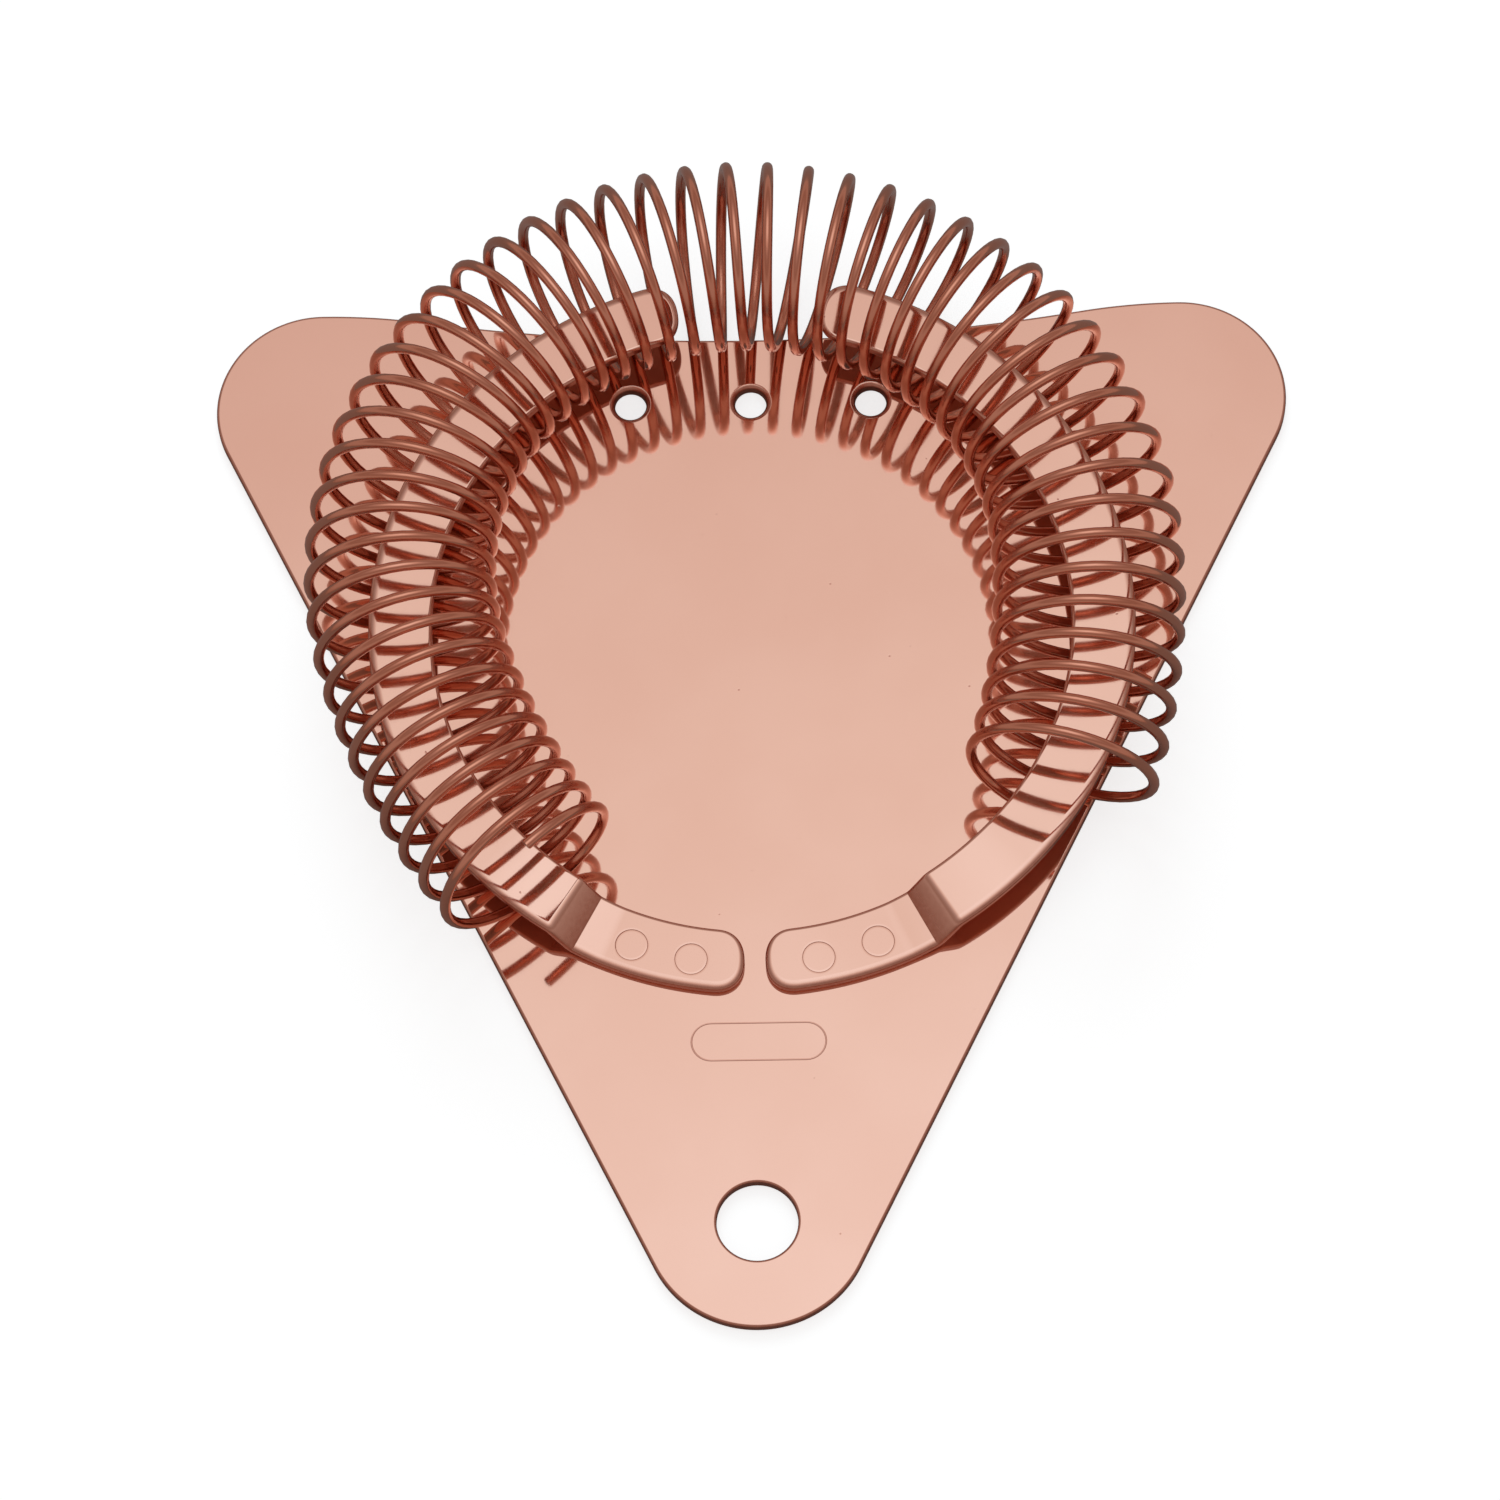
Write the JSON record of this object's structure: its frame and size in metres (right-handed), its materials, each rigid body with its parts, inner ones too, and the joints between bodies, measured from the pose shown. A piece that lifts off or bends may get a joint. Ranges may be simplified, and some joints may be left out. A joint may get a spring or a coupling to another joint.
{
  "type": "hawthorne strainer",
  "caption": "Flat copper-plated bar strainer: a rounded triangular plate with two riveted curved arms that carry a ring of coiled spring wire.",
  "frame": {"origin": "centre of the circle that the two arms lie on, at the plate's flat underside", "axes": "+Y from the centre towards the pouring edge, -Y towards the tail with the hang hole; +Z out of the side that carries the spring; +X towards the right wing"},
  "size_m": [0.106, 0.116, 0.02],
  "materials": {
    "plate_copper": "polished",
    "arm_copper": "polished",
    "rivet_copper": "polished",
    "wire_copper": "gloss"
  },
  "bodies": {
    "plate": {"strainer_plate": "plate_copper", "left_arm": "arm_copper", "right_arm": "arm_copper", "left_inner_rivet": "rivet_copper", "left_outer_rivet": "rivet_copper", "right_inner_rivet": "rivet_copper", "right_outer_rivet": "rivet_copper"},
    "spring": {"coil_spring": "wire_copper"}
  },
  "joints": [
    {"name": "spring_slide", "type": "hinge", "parent": "plate", "child": "spring", "pos_m": [0, 0, 0], "axis": [0, 0, 1], "range_deg": [-15, 0]}
  ]
}
